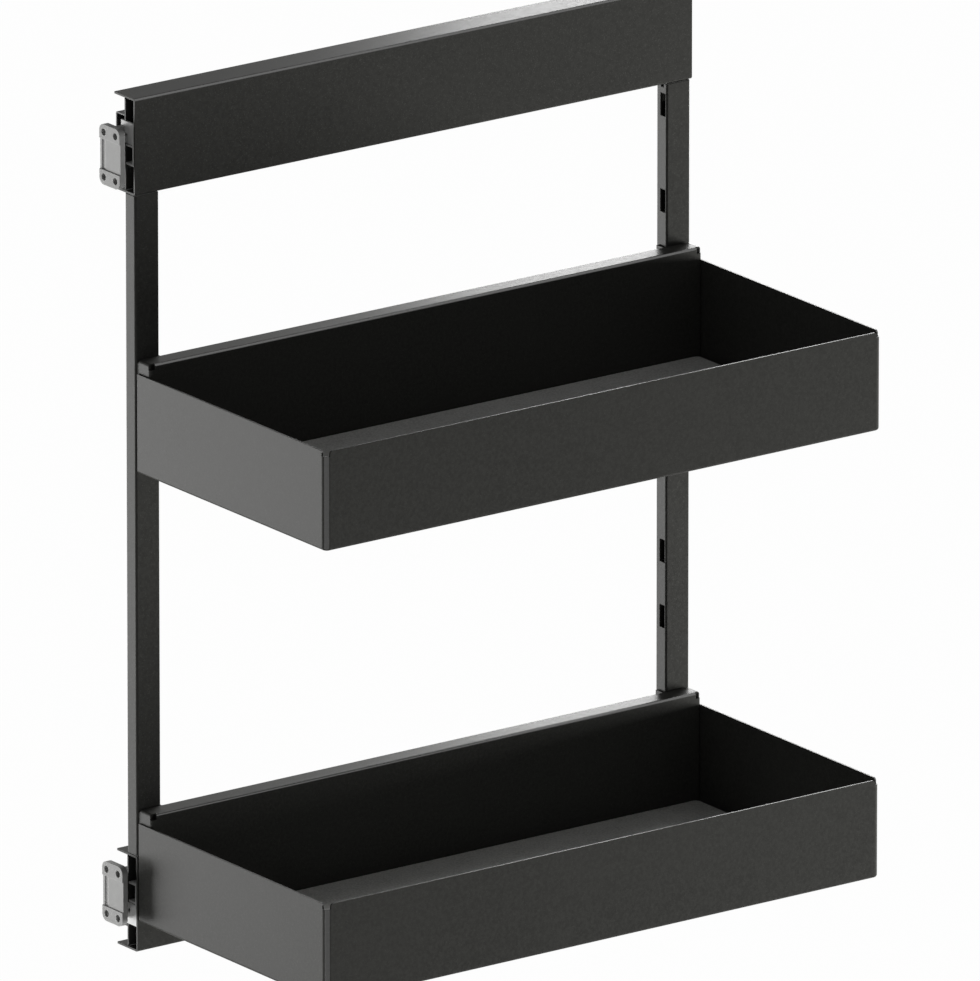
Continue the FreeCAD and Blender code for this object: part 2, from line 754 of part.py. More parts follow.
def add_bracket_rivets(end):
    """Two rivets that hold the carrier block on the arm's tab."""
    rivets = []
    across = size["carrier_inset"] + size["carrier_width"] / 2
    tab = size["tab_sheet"]
    for inward in rivet_places():
        level = height_from(end, inward)
        shank = rod((-size["rivet_grip"], across, level), "X", size["rivet"], size["rivet_grip"] + tab)
        head = rod((tab, across, level), "X", size["rivet_head"], size["rivet_cap"])
        rivets.append(fused([shank, head]))
    group(end + "_bracket_rivets", rivets)


def add_door_plate(end):
    """Plate that the door is screwed to, sliding on the carrier's dovetail."""
    body = new_body(end + "_door_plate")
    back = -size["carrier_depth"] - size["dovetail_play"]
    width = size["plate_width"]
    middle = size["plate_offset"]
    half = size["plate_height"] / 2
    outline = rectangle(0, middle - half, width, middle + half)
    long_piece(body, end, outline, back - size["plate_sheet"], size["plate_sheet"])
    round_profile(body, end, outline, size["plate_corner"])
    face = back - size["plate_sheet"]
    holes = sketch_on(body, "YZ_Plane", back)
    for across in (-1, 1):
        for inward in (-1, 1):
            place = width / 2 + size["plate_hole_span"] * across / 2
            level = height_from(end, middle + size["plate_hole_rise"] * inward / 2)
            draw_circle(holes, place, level, size["plate_hole"])
    pocket(body, holes, size["plate_sheet"])
    recess_half = size["plate_recess_height"] / 2
    recess = sketch_on(body, "YZ_Plane", face)
    draw_outline(recess, profile(end, rectangle(0, middle - recess_half, width, middle + recess_half)))
    pocket(body, recess, size["plate_recess"], along_normal=True)
    band_back = width - size["plate_band_inset"]
    band_front = band_back - size["plate_band_width"]
    band = sketch_on(body, "YZ_Plane", face)
    band_outline = rectangle(band_front, middle - recess_half, band_back, middle + recess_half)
    draw_outline(band, profile(end, band_outline))
    pocket(body, band, size["plate_recess"] + size["plate_band_depth"], along_normal=True)
    groove = sketch_on(body, "XZ_Plane", -size["plate_groove"])
    draw_outline(groove, dovetail(end, back, size["dovetail_play"], size["dovetail_side_play"]))
    pocket(body, groove, width - size["plate_groove"])


def from_end(which, along):
    """Distance along the frame from its door end or from its rear end."""
    along = Size.of(along)
    if which == "front":
        return along
    return frame_length - along


outer_to_inner_slot = size["slot_outer_pitch"] + size["slot_inner_pitch"]


def slot_middles():
    steps = [outer_to_inner_slot, size["slot_outer_pitch"], ZERO]
    return [lowest_slot + step for step in steps] + [highest_slot - step for step in steps]


def add_upright(which):
    """Square tube between the rails, slotted on its inner side."""
    body = new_body(which + "_upright")
    length = upright_head - upright_foot
    width, depth, wall = size["upright_width"], size["upright_depth"], size["upright_sheet"]
    outline = rectangle(from_end(which, 0), 0, from_end(which, width), depth)
    sketch = sketch_on(body, "XY_Plane", upright_foot)
    draw_outline(sketch, outline)
    pad(body, sketch, length)
    round_edges(body, "Z", outline, size["upright_bend"])
    bore = sketch_on(body, "XY_Plane", upright_head)
    draw_outline(bore, rectangle(from_end(which, wall), wall, from_end(which, width - wall), depth - wall))
    pocket(body, bore, length)
    slots = sketch_on(body, "YZ_Plane", from_end(which, width))
    front = size["slot_inset"]
    for middle in slot_middles():
        low, high = middle - slot_clear, middle + slot_clear
        draw_outline(slots, rectangle(front, low, front + size["slot_width"], high))
    near, far = size["sight_inset"], size["sight_inset"] + size["sight_width"]
    draw_outline(slots, rectangle(near, upright_foot, far, upright_foot + size["sight_depth"]))
    draw_outline(slots, rectangle(near, upright_head - size["sight_depth"], far, upright_head))
    pocket(body, slots, wall, along_normal=(which == "rear"))


def add_plugs_and_screws():
    """Plug in each end of each upright, held to its rail by one screw."""
    plugs = []
    screws = []
    wall = size["upright_sheet"]
    step = size["plug_step"]
    inset = wall + size["plug_play"]
    depth = size["upright_depth"]
    width = size["upright_width"]
    cap = size["frame_screw_cap"]
    shank = size["frame_screw"]
    for end in ("bottom", "top"):
        for which in ("front", "rear"):
            left = ZERO if which == "front" else frame_length - width
            inner = rail_height + size["plug_flange"]
            outer_level = low_of(end, rail_height, size["plug_flange"])
            flange = block(
                (left + step, step, outer_level),
                (width - step * 2, depth - step * 2, size["plug_flange"]),
            )
            core = block(
                (left + inset, inset, low_of(end, inner, size["plug_length"])),
                (width - inset * 2, depth - inset * 2, size["plug_length"]),
            )
            total = size["plug_flange"] + size["plug_length"]
            centre = left + upright_centre
            hole = rod(
                (centre, depth / 2, low_of(end, rail_height, total)), "Z", shank + size["screw_play"], total
            )
            head_space = rod(
                (centre, depth / 2, low_of(end, rail_height + total - cap, cap)),
                "Z", size["frame_screw_head"] + size["screw_play"], cap,
            )
            relief_width = wall + size["hook_clear"] + size["hook_tip"] + size["plug_relief_gap"]
            relief_depth = size["slot_inset"] + size["slot_width"] + size["plug_relief_side"]
            relief_start = left + (width - relief_width if which == "front" else 0)
            relief = block(
                (relief_start, 0, low_of(end, inner + size["plug_collar"], size["plug_length"])),
                (relief_width, relief_depth, size["plug_length"]),
            )
            plugs.append(cut_from(fused([flange, core]), fused([hole, head_space, relief])))
            tip = rail_height - rail_sheet * 2
            bolt = rod((centre, depth / 2, low_of(end, tip, total - cap + rail_sheet * 2)), "Z", shank,
                       total - cap + rail_sheet * 2)
            head = rod((centre, depth / 2, low_of(end, rail_height + total - cap, cap)), "Z",
                       size["frame_screw_head"], cap)
            socket_depth = cap * 0.6
            socket = rod(
                (centre, depth / 2, low_of(end, rail_height + total - socket_depth, socket_depth)),
                "Z", shank * 0.7, socket_depth,
            )
            screws.append(cut_from(fused([bolt, head]), socket))
    group("upright_plugs", plugs)
    group("frame_screws", screws)


def low_of(end, inward, length):
    """Lowest height of a piece that starts inward of a rail's edge."""
    if end == "top":
        return frame_height - inward - length
    return Size.of(inward)


tray_sheet = size["tray_sheet"]


def tray_floor(tray):
    """Height of a tray's underside, from the slots that its hooks sit in."""
    slot = highest_slot - outer_to_inner_slot if tray == "upper" else lowest_slot
    return slot - size["hook_height"]


def add_tray_shell(tray):
    """Bottom, front and sides of a tray, folded from one sheet."""
    body = new_body(tray + "_tray_shell")
    floor = tray_floor(tray)
    height = size["tray_height"]
    sketch = sketch_on(body, "XY_Plane", floor)
    draw_outline(sketch, rectangle(0, tray_front, frame_length, tray_rear))
    pad(body, sketch, height)
    corners = [(0, tray_front), (frame_length, tray_front)]
    round_edges(body, "Z", corners, size["tray_corner"])
    lower_edges = [name for name, edge in named_edges(body) if is_lower_rim(edge, floor)]
    round_named(body, lower_edges, size["tray_bend"])
    inside = sketch_on(body, "XY_Plane", floor + height)
    draw_inside(inside)
    pocket(body, inside, height - tray_sheet)
    relief = sketch_on(body, "XY_Plane", floor + height)
    reach = size["tray_corner"]
    for which in ("front", "rear"):
        start, end = from_end(which, 0), from_end(which, reach)
        draw_outline(relief, rectangle(start, tray_front, end, tray_front + reach))
    pocket(body, relief, size["corner_relief"])
    rim = floor + height
    round_edges(body, "X", [(tray_front + reach, rim)], size["relief_edge"])
    round_edges(body, "Y", [(reach, rim), (frame_length - reach, rim)], size["relief_edge"])


def named_edges(body):
    return [("Edge%d" % number, edge) for number, edge in enumerate(body.Tip.Shape.Edges, start=1)]


def is_lower_rim(edge, floor):
    """True for the bottom edges of the sides, corners and front."""
    ends = [vertex.Point for vertex in edge.Vertexes]
    if any(abs(end.z - floor.value) > 0.01 for end in ends):
        return False
    return not all(abs(end.y - tray_rear.value) < 0.01 for end in ends)


def draw_inside(sketch):
    """The tray's inner outline: open at the back, rounded at the front."""
    wall = tray_sheet
    radius = size["tray_corner"] - wall
    left, right = wall, frame_length - wall
    front = tray_front + wall
    low_left = (left + radius, front + radius)
    low_right = (right - radius, front + radius)
    points = [
        (left, tray_rear + wall),
        (left, low_left[1]),
        (low_left[0], front),
        (low_right[0], front),
        (right, low_right[1]),
        (right, tray_rear + wall),
    ]
    points = [(Size.of(across), Size.of(up)) for across, up in points]
    places = [Vector(across.value, up.value, 0) for across, up in points]
    lines = [(0, 1), (2, 3), (4, 5), (5, 0)]
    for start, end in lines:
        sketch.addGeometry(Part.LineSegment(places[start], places[end]), False)
    quarter = 1.5707963267948966
    for centre, begin in ((low_left, 2), (low_right, 3)):
        middle = Vector(centre[0].value, centre[1].value, 0)
        circle = Part.Circle(middle, Vector(0, 0, 1), radius.value)
        sketch.addGeometry(Part.ArcOfCircle(circle, begin * quarter, (begin + 1) * quarter), False)
    joints = [(0, 2, 4, 1), (4, 2, 1, 1), (1, 2, 5, 1), (5, 2, 2, 1), (2, 2, 3, 1), (3, 2, 0, 1)]
    for first, first_end, second, second_end in joints:
        sketch.addConstraint(Sketcher.Constraint("Coincident", first, first_end, second, second_end))
    held = [(0, 1, 0), (0, 2, 1), (1, 1, 2), (1, 2, 3), (2, 1, 4), (2, 2, 5)]
    for element, point, number in held:
        pin_point(sketch, element, point, *points[number])
    for arc in (4, 5):
        index = sketch.addConstraint(Sketcher.Constraint("Radius", arc, radius.value))
        bind(sketch, "Constraints[%d]" % index, radius)


def add_back_panel(tray):
    """Shallow pan behind the tray, open towards the uprights."""
    body = new_body(tray + "_tray_back_panel")
    low = tray_floor(tray) + tray_sheet
    high = tray_floor(tray) + size["tray_height"] + size["panel_rise"]
    left, right = tray_sheet, frame_length - tray_sheet
    depth = size["panel_depth"]
    face = tray_rear - depth
    sketch = sketch_on(body, "XZ_Plane", -tray_rear)
    draw_outline(sketch, rectangle(left, low, right, high))
    pad(body, sketch, depth)
    round_edges(body, "Z", [(left, face), (right, face)], size["panel_bend"])
    front_top = [name for name, edge in named_edges(body) if is_panel_top(edge, high)]
    round_named(body, front_top, size["panel_bend"])
    hollow = sketch_on(body, "XZ_Plane", -tray_rear)
    inner = rectangle(left + tray_sheet, low + tray_sheet, right - tray_sheet, high - tray_sheet)
    draw_outline(hollow, inner)
    pocket(body, hollow, depth - tray_sheet, along_normal=True)
    relief = sketch_on(body, "XZ_Plane", -face)
    notch = size["panel_relief"]
    for which in ("front", "rear"):
        start, end = from_end(which, tray_sheet), from_end(which, tray_sheet + notch)
        draw_outline(relief, rectangle(start, high - notch, end, high))
    pocket(body, relief, size["panel_relief_depth"])


def is_panel_top(edge, high):
    """True for the front edge of the panel's top, between its corners."""
    ends = [vertex.Point for vertex in edge.Vertexes]
    if len(ends) != 2 or any(abs(end.z - high.value) > 0.01 for end in ends):
        return False
    front = tray_rear.value - size["panel_depth"].value
    return all(end.y < front + size["panel_bend"].value + 0.01 for end in ends)


def add_mat(tray):
    body = new_body(tray + "_tray_mat")
    margin = size["mat_margin"]
    back = tray_rear - size["panel_depth"] - size["mat_back_margin"]
    outline = rectangle(
        tray_sheet + margin, tray_front + tray_sheet + margin, frame_length - tray_sheet - margin, back
    )
    sketch = sketch_on(body, "XY_Plane", tray_floor(tray) + tray_sheet)
    draw_outline(sketch, outline)
    pad(body, sketch, size["mat_thickness"])
    round_edges(body, "Z", outline, size["mat_corner"])


def add_hanger(tray, which):
    """Folded bracket behind the tray, with the hook that sits in a slot."""
    body = new_body("%s_tray_%s_hanger" % (tray, which))
    floor = tray_floor(tray)
    thickness = size["hanger_sheet"]
    play = size["hanger_play"]
    foot = floor + size["hanger_bottom"]
    shoulder = floor + size["tray_height"] + size["panel_rise"] - tray_sheet
    edge = size["hanger_inset"]
    cheek = size["upright_width"] + play
    face = sketch_on(body, "XZ_Plane", play)
    outer = from_end(which, edge)
    folded = from_end(which, cheek + thickness)
    draw_outline(face, rectangle(outer, foot, folded, shoulder))
    pad(body, face, thickness)
    round_edges(body, "Y", [(outer, shoulder)], size["hanger_corner"])
    round_edges(body, "Z", [(folded, tray_rear)], thickness * 0.9)
    beside = sketch_on(body, "XY_Plane", foot)
    back = size["cheek_depth"] + tray_rear
    draw_outline(beside, rectangle(from_end(which, cheek), tray_rear, folded, back))
    pad(body, beside, shoulder - foot)
    leg = sketch_on(body, "XY_Plane", foot)
    leg_start = tray_sheet * 2
    leg_reach = tray_rear - size["panel_depth"] + size["panel_bend"] + tray_sheet / 2
    leg_end = from_end(which, leg_start + thickness)
    draw_outline(leg, rectangle(from_end(which, leg_start), leg_reach, leg_end, tray_rear))
    pad(body, leg, shoulder - foot)
    slot_low = floor + size["hook_height"] - slot_clear
    neck_low = slot_low + size["hook_seat"]
    neck_high = neck_low + size["hook_neck"]
    inner_wall = size["upright_width"] - size["upright_sheet"] - size["hook_clear"]
    tip = inner_wall - size["hook_tip"]
    hook = sketch_on(body, "XZ_Plane", -(size["slot_inset"] + size["slot_width"] - size["hook_play"]))
    corners = [
        (cheek, neck_low),
        (cheek, neck_high),
        (tip, neck_high),
        (tip, neck_low - size["hook_drop"]),
        (inner_wall, neck_low - size["hook_drop"]),
        (inner_wall, neck_low),
    ]
    draw_outline(hook, [(from_end(which, along), level) for along, level in corners])
    pad(body, hook, size["slot_width"] - size["hook_play"] * 2)


def build():
    for end in ("top", "bottom"):
        add_rail_cover(end)
        add_rail_channel(end)
        add_cabinet_member(end)
        add_intermediate_member(end)
        add_frame_member(end)
        add_cage(end, "outer")
        add_cage(end, "inner")
        add_rear_bumper(end)
        add_member_screws(end)
        add_bracket_arm(end)
        add_bracket_carrier(end)
        add_bracket_rivets(end)
        add_door_plate(end)
    for which in ("front", "rear"):
        add_upright(which)
    add_plugs_and_screws()
    for tray in ("upper", "lower"):
        add_tray_shell(tray)
        add_back_panel(tray)
        add_mat(tray)
        for which in ("front", "rear"):
            add_hanger(tray, which)


def check_and_write():
    """Stop on any failed object or bad shape, then write every sub-part."""
    doc.recompute()
    for thing in doc.Objects:
        for state in thing.State:
            if state in ("Invalid", "Error"):
                raise RuntimeError("%s is %s" % (thing.Label, state))
    for part in subparts:
        if part.Shape.isNull() or not part.Shape.isValid():
            raise RuntimeError("bad shape in " + part.Label)
    os.makedirs("parts", exist_ok=True)
    for part in subparts:
        part.Shape.exportStep(os.path.join("parts", part.Label + ".step"))
        print("%-30s %2d solids %12.1f mm3" % (part.Label, len(part.Shape.Solids), part.Shape.Volume))


build()
check_and_write()
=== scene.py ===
import json
import math

import bpy
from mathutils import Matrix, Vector

# Looks of the pull-out organizer: powder-coated frame and trays, zinc door
# brackets, black ball slides, and the white studio that it stands in.

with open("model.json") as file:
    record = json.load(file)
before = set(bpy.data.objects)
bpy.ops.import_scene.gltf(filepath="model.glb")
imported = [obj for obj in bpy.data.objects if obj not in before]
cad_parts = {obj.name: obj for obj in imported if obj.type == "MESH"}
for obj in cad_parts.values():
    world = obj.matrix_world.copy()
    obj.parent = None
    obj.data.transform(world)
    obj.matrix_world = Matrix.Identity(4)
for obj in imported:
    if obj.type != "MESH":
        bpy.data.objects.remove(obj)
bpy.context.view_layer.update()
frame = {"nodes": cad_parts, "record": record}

# Colours of the finishes

ANTHRACITE = (0.046, 0.046, 0.043)
# The edge colours are painted highlights: lighter colours for sharp edges, standing in for the light that the
# edges catch.
ANTHRACITE_EDGE_HIGHLIGHT = (0.13, 0.13, 0.125)
TRAY_EDGE_HIGHLIGHT = (0.065, 0.065, 0.062)
# Painted shade: a darker copy of the anthracite for the rail channel, whose inside lies in shade.
RAIL_INSIDE_PAINTED_SHADE = (0.036, 0.036, 0.034)
RAIL_INSIDE_EDGE_HIGHLIGHT = (0.12, 0.12, 0.115)
PLATE_ZINC = (0.31, 0.31, 0.305)
# Painted light: the arms' zinc is a much lighter copy of the plates' zinc, standing in for light on the tabs
# in the door plates' shade.
ARM_ZINC_PAINTED_LIGHT = (0.74, 0.74, 0.73)
ZINC_EDGE_HIGHLIGHT = (0.86, 0.86, 0.85)
SLIDE_BLACK = (0.030, 0.030, 0.029)
SLIDE_EDGE_HIGHLIGHT = (0.22, 0.22, 0.21)
SCREW_DARK = (0.52, 0.52, 0.5)
SCREW_LIGHT = (0.68, 0.68, 0.66)
BALL_DARK = (0.70, 0.70, 0.71)
BALL_LIGHT = (0.78, 0.78, 0.78)
CAGE_GREY = (0.11, 0.11, 0.12)
PLUG_GREY = (0.10, 0.10, 0.095)
RUBBER_DARK = (0.018, 0.018, 0.018)
RUBBER_LIGHT = (0.036, 0.036, 0.035)
MAT_GREY = (0.60, 0.60, 0.585)

# Low, because glossy rays see the white studio at full strength
DULL_IOR = 1.1
SLIDE_IOR = 1.15

# The values of a noise that are taken as none and full
SOFT = (0.3, 0.7)
FIRM = (0.35, 0.65)
PEBBLED = (0.1, 0.6)

# How far a rounded normal turns from the straight one where an edge shows
EDGE_TURN = (0.02, 0.25)
BEVEL_SAMPLES = 6

UPWARDS = (0, 0, 1)
FORWARDS = (0, -1, 0)
DOOR_END_CORNER = (-0.59, -0.81, 0)

# Inputs and output of a Mix node that mixes colours
FIRST_COLOUR, SECOND_COLOUR, MIXED_COLOUR = 6, 7, 2


# Shader maths

class Link:
    """A socket of a node tree that Python operators can work on."""

    def __init__(self, graph, socket):
        self.graph = graph
        self.socket = socket

    def maths(self, operation, *values):
        return self.graph.node("Math", {"operation": operation}, dict(enumerate(values))).out()

    def __add__(self, other):
        return self.maths("ADD", self, other)

    def __radd__(self, other):
        return self.maths("ADD", other, self)

    def __sub__(self, other):
        return self.maths("SUBTRACT", self, other)

    def __rsub__(self, other):
        return self.maths("SUBTRACT", other, self)

    def __mul__(self, other):
        return self.maths("MULTIPLY", self, other)

    def __rmul__(self, other):
        return self.maths("MULTIPLY", other, self)

    def limited(self):
        """The value kept between 0 and 1."""
        return self.maths("MINIMUM", self.maths("MAXIMUM", self, 0.0), 1.0)

    def ramp(self, low, high, start=0.0, end=1.0):
        """The value mapped from low..high to start..end, and kept there."""
        values = {"Value": self, "From Min": low, "From Max": high, "To Min": start, "To Max": end}
        return self.graph.node("MapRange", {"clamp": True}, values).out("Result")


class Node:
    """A node of a tree, whose outputs are given as links."""

    def __init__(self, graph, node):
        self.graph = graph
        self.node = node

    def out(self, name=0):
        return Link(self.graph, self.node.outputs[name])


class Graph:
    """The node tree of its owner, a material or the world."""

    def __init__(self, owner):
        self.owner = owner
        owner.use_nodes = True
        self.tree = owner.node_tree
        self.tree.nodes.clear()

    def node(self, kind, settings=None, values=None):
        """Add a shader node, set it up, and fill or link its sockets."""
        made = self.tree.nodes.new("ShaderNode" + kind)
        for name, value in (settings or {}).items():
            setattr(made, name, value)
        for name, value in (values or {}).items():
            if isinstance(value, Link):
                self.tree.links.new(value.socket, made.inputs[name])
            elif value is not None:
                made.inputs[name].default_value = value
        return Node(self, made)

    def place(self):
        """The point on the surface, in metres in the object's own axes."""
        return self.node("TexCoord").out("Object")

    def stretched(self, scale):
        """The surface point with each axis scaled on its own."""
        return self.node("Mapping", None, {"Vector": self.place(), "Scale": scale}).out("Vector")

    def noise(self, scale, detail=2.0, roughness=0.5, where=None):
        """Noise with scale features to the metre."""
        values = {"Vector": where or self.place(), "Scale": scale, "Detail": detail, "Roughness": roughness}
        return self.node("TexNoise", None, values).out()

    def cells(self, scale):
        """Soft-edged cells, scale of them to the metre."""
        values = {"Vector": self.place(), "Scale": scale}
        return self.node("TexVoronoi", {"feature": "SMOOTH_F1"}, values).out("Distance")

    def mixed(self, share, low, high):
        """A colour between low and high."""
        values = {"Factor": share, FIRST_COLOUR: low, SECOND_COLOUR: high}
        return self.node("Mix", {"data_type": "RGBA"}, values).out(MIXED_COLOUR)

    def along(self, direction, other):
        """How far two directions agree: 1 where they are the same."""
        return self.node("VectorMath", {"operation": "DOT_PRODUCT"}, {0: direction, 1: other}).out("Value")

    def facing(self, axis, low, high):
        """0 to 1 as the surface turns towards a direction in the object's own axes."""
        return self.along(self.node("TexCoord").out("Normal"), axis).ramp(low, high)

    def soft_edges(self, radius):
        """The normal, rounded on sharp edges."""
        return self.node("Bevel", {"samples": BEVEL_SAMPLES}, {"Radius": radius}).out("Normal")

    def edge(self, radius):
        """1 on sharp edges within radius, 0 on flats."""
        straight = self.node("NewGeometry").out("Normal")
        return (1.0 - self.along(self.soft_edges(radius), straight)).ramp(*EDGE_TURN)

    def bump(self, height, distance, strength, normal=None):
        values = {"Height": height, "Distance": distance, "Strength": strength, "Normal": normal}
        return self.node("Bump", None, values).out("Normal")

    def finish(self, **sockets):
        """End in a Principled shader with these values or links."""
        values = {name.replace("_", " "): value for name, value in sockets.items()}
        shader = self.node("BsdfPrincipled", None, values)
        self.node("OutputMaterial", None, {"Surface": shader.out()})
        return self.owner


def material_graph(name):
    return Graph(bpy.data.materials.new(name))


def tone(shade, share=1.0):
    """The shade made darker or lighter, as a colour socket takes it."""
    return [channel * share for channel in shade] + [1]


# Finishes

def powder_coat(name, shade, edge_highlight, corner_gloss=0.0):
    """Fine matte powder coat: mottled, finely pebbled, with a painted highlight on its edges.

    Bends that face up and forwards are rubbed glossy, and an upright corner at
    the door end is glossy by corner_gloss.
    """
    g = material_graph(name)
    broad = g.noise(9.0)
    mottle = g.noise(420.0, detail=3.0, roughness=0.6)
    fine = g.noise(2600.0, roughness=0.6)
    specks = g.noise(1500.0, detail=0.0).ramp(0.70, 0.78)
    edges = g.edge(0.0005)
    colour = g.mixed(mottle.ramp(*FIRM), tone(shade, 0.88), tone(shade, 1.14))
    colour = g.mixed(broad.ramp(*FIRM, 0.0, 0.35), colour, tone(shade, 1.12))
    colour = g.mixed(specks * 0.35, colour, tone(shade, 2.6))
    # Painted highlight: sharp edges are painted towards the lighter edge colour, standing in for the light
    # they catch.
    colour = g.mixed(edges * 0.55, colour, tone(edge_highlight))
    rough = mottle.ramp(*SOFT, 0.34, 0.42) + edges * 0.2
    normal = g.bump(fine * 0.6 + mottle * 0.4, 0.00002, 0.4, g.soft_edges(0.0004))
    gloss = g.facing(UPWARDS, 0.15, 0.4) * g.facing(FORWARDS, 0.35, 0.6)
    if corner_gloss:
        gloss = gloss + g.facing(DOOR_END_CORNER, 0.9, 0.94) * corner_gloss
    return g.finish(
        Base_Color=colour, Roughness=rough, Normal=normal, IOR=DULL_IOR,
        Coat_Weight=gloss, Coat_IOR=2.0, Coat_Roughness=0.2,
    )


def zinc(name, shade):
    """Die-cast and stamped zinc: satin, faintly cloudy, with a painted highlight on its edges."""
    g = material_graph(name)
    cloud = g.noise(160.0, detail=3.0, roughness=0.55)
    grain = g.noise(1800.0, roughness=0.6)
    scratches = g.noise(1.0, detail=1.0, where=g.stretched((250.0, 250.0, 3200.0))).ramp(0.62, 0.75)
    edges = g.edge(0.0005)
    colour = g.mixed(cloud.ramp(*SOFT), tone(shade, 0.92), tone(shade, 1.05))
    # Painted highlight: sharp edges are painted towards a near-white zinc, standing in for the light they
    # catch.
    colour = g.mixed(edges * 0.6, colour, tone(ZINC_EDGE_HIGHLIGHT))
    rough = cloud.ramp(*SOFT, 0.36, 0.48) + scratches * 0.06 - edges * 0.08
    normal = g.bump(grain * 0.7 + scratches * 0.3, 0.00002, 0.5, g.soft_edges(0.00035))
    return g.finish(Base_Color=colour, Roughness=rough, Normal=normal, IOR=DULL_IOR)


def slide_steel(name):
    """Black coated rolled steel with faint drawing lines along the rail."""
    g = material_graph(name)
    lines = g.noise(1.0, roughness=0.55, where=g.stretched((14.0, 1500.0, 1500.0)))
    cloud = g.noise(70.0)
    edges = g.edge(0.0004)
    colour = g.mixed(lines.ramp(*FIRM), tone(SLIDE_BLACK, 0.85), tone(SLIDE_BLACK, 1.2))
    # Painted highlight: sharp edges are painted lighter than the black, standing in for the light they catch.
    colour = g.mixed(edges * 0.6, colour, tone(SLIDE_EDGE_HIGHLIGHT))
    rough = cloud.ramp(*SOFT, 0.39, 0.41) + (lines - 0.5) * 0.05
    normal = g.bump(lines, 0.00002, 0.4, g.soft_edges(0.0003))
    return g.finish(Base_Color=colour, Roughness=rough, Normal=normal, IOR=SLIDE_IOR)


def plated_steel(name):
    """Bright zinc-plated screws and rivets with turning marks."""
    g = material_graph(name)
    cloud = g.noise(500.0)
    colour = g.mixed(cloud.ramp(*SOFT), tone(SCREW_DARK), tone(SCREW_LIGHT))
    rough = cloud.ramp(*SOFT, 0.24, 0.36)
    normal = g.bump(g.noise(3500.0, detail=1.0), 0.00001, 0.4, g.soft_edges(0.00025))
    return g.finish(Base_Color=colour, Roughness=rough, Metallic=1.0, Normal=normal)


def ball_steel(name):
    """Polished bearing balls."""
    g = material_graph(name)
    wear = g.noise(900.0)
    colour = g.mixed(wear.ramp(*SOFT), tone(BALL_DARK), tone(BALL_LIGHT))
    rough = wear.ramp(*SOFT, 0.08, 0.14)
    normal = g.bump(wear, 0.000004, 0.3)
    return g.finish(Base_Color=colour, Roughness=rough, Metallic=1.0, Normal=normal)


def moulded_plastic(name, shade):
    """Satin moulded plastic with a fine spark-eroded grain."""
    g = material_graph(name)
    grain = g.noise(2200.0, roughness=0.6)
    cloud = g.noise(120.0)
    colour = g.mixed(cloud.ramp(*SOFT), tone(shade, 0.9), tone(shade, 1.15))
    rough = cloud.ramp(*SOFT, 0.42, 0.55)
    normal = g.bump(grain, 0.00002, 0.5, g.soft_edges(0.0003))
    return g.finish(Base_Color=colour, Roughness=rough, Normal=normal)


def black_rubber(name):
    """Dull rubber of the slides' bumpers."""
    g = material_graph(name)
    grain = g.noise(1400.0, detail=3.0, roughness=0.65)
    colour = g.mixed(grain.ramp(*SOFT), tone(RUBBER_DARK), tone(RUBBER_LIGHT))
    rough = grain.ramp(*SOFT, 0.72, 0.86)
    normal = g.bump(grain, 0.00005, 0.6, g.soft_edges(0.0005))
    return g.finish(Base_Color=colour, Roughness=rough, Normal=normal)


def floor_mat(name):
    """Non-slip mat: soft grey foam with a close pebbled surface."""
    g = material_graph(name)
    pebbles = g.cells(780.0)
    weave = g.noise(60.0, detail=3.0)
    dust = g.noise(900.0, detail=1.0).ramp(0.68, 0.78)
    # Painted shade: darker in the hollows between pebbles, where the bump is low.
    colour = g.mixed(pebbles.ramp(*PEBBLED), tone(MAT_GREY, 1.15), tone(MAT_GREY, 0.82))
    colour = g.mixed(weave.ramp(*FIRM, 0.0, 0.4), colour, tone(MAT_GREY, 1.15))
    colour = g.mixed(dust * 0.25, colour, tone(MAT_GREY, 2.2))
    rough = pebbles.ramp(*PEBBLED, 0.66, 0.82)
    normal = g.bump(1.0 - pebbles, 0.00012, 0.6, g.soft_edges(0.0006))
    return g.finish(Base_Color=colour, Roughness=rough, Normal=normal, IOR=DULL_IOR)


def dress(frame):
    """Give every CAD node the finish of its slot, or its own."""
    by_slot = {
        "powder_coat": powder_coat("anthracite_powder_coat", ANTHRACITE, ANTHRACITE_EDGE_HIGHLIGHT),
        "zinc": zinc("satin_zinc", PLATE_ZINC),
        "plated_steel": plated_steel("zinc_plated_steel"),
        "slide_black": slide_steel("black_slide_steel"),
        "ball_steel": ball_steel("polished_ball_steel"),
        "cage_plastic": moulded_plastic("ball_cage_plastic", CAGE_GREY),
        "plug_plastic": moulded_plastic("upright_plug_plastic", PLUG_GREY),
        "rubber": black_rubber("bumper_rubber"),
        "mat": floor_mat("tray_mat_foam"),
    }
    by_ending = {
        # The rail channel gets a darker copy of the coat as painted shade.
        "rail_channel": powder_coat("rail_inner_coat_painted_shade", RAIL_INSIDE_PAINTED_SHADE, RAIL_INSIDE_EDGE_HIGHLIGHT),
        "tray_shell": powder_coat("tray_powder_coat", ANTHRACITE, TRAY_EDGE_HIGHLIGHT, corner_gloss=0.5),
        # The arms get a lighter copy of the zinc as painted light on their shaded tabs.
        "bracket_arm": zinc("stamped_zinc_painted_light", ARM_ZINC_PAINTED_LIGHT),
    }
    slots = {entry["node"]: entry["material_slot"] for entry in frame["record"]["subparts"]}
    for name, thing in frame["nodes"].items():
        finish = by_slot[slots[name]]
        for ending, own_finish in by_ending.items():
            if name.endswith(ending):
                finish = own_finish
        thing.data.materials.clear()
        thing.data.materials.append(finish)


# The photograph's view, with angles in radians and lengths in metres

